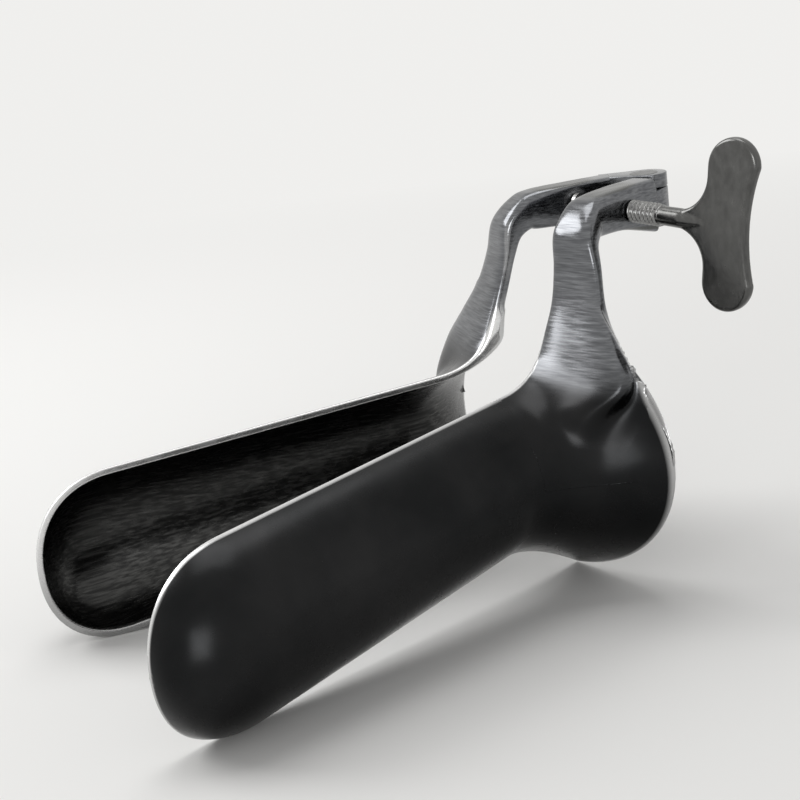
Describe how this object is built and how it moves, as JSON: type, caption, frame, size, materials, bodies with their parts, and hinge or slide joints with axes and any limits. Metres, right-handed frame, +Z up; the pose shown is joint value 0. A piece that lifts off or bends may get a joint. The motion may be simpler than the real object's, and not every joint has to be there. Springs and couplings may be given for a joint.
{
  "type": "bivalve speculum",
  "caption": "Bivalve speculum of polished steel: two hinged troughed blades with half-funnels, spread by a thumb screw with a flat two-lobed wing.",
  "frame": {"origin": "centre of the bounding box's underside, with the blades swung open as in the picture", "axes": "+Y from the blades' tips to the hinge, +Z up along the hinge pin, +X towards the thumb screw's wing"},
  "size_m": [0.0798, 0.1326, 0.0826],
  "materials": {
    "valve_steel": "mirror-polished stainless steel",
    "pin_steel": "dull ground steel",
    "screw_steel": "polished stainless steel"
  },
  "bodies": {
    "left_side": {"left_valve": "valve_steel", "hinge_pin": "pin_steel"},
    "right_side": {"right_valve": "valve_steel"},
    "screw_end": {"thrust_button": "screw_steel"},
    "screw": {"thumb_screw": "screw_steel"}
  },
  "joints": [
    {"name": "valve_hinge", "type": "hinge", "parent": "left_side", "child": "right_side", "pos_m": [-0.00019, 0.06166, 0.06761], "axis": [0, 0, 1], "range_deg": [-25.9, 12]},
    {"name": "screw_feed", "type": "slide", "parent": "right_side", "child": "screw_end", "axis": [-0.9732, -0.2157, 0.0802], "range_m": [-0.007, 0.0034]},
    {"name": "screw_turn", "type": "hinge", "parent": "screw_end", "child": "screw", "pos_m": [0.00384, 0.04903, 0.06861], "axis": [-0.9732, -0.2157, 0.0802], "range_deg": [-2520, 1170]}
  ],
  "couplings": [
    {"joint": "screw_feed", "follows": "valve_hinge", "m_per_rad": 0.015064},
    {"joint": "screw_turn", "follows": "valve_hinge", "ratio": 94.65}
  ]
}
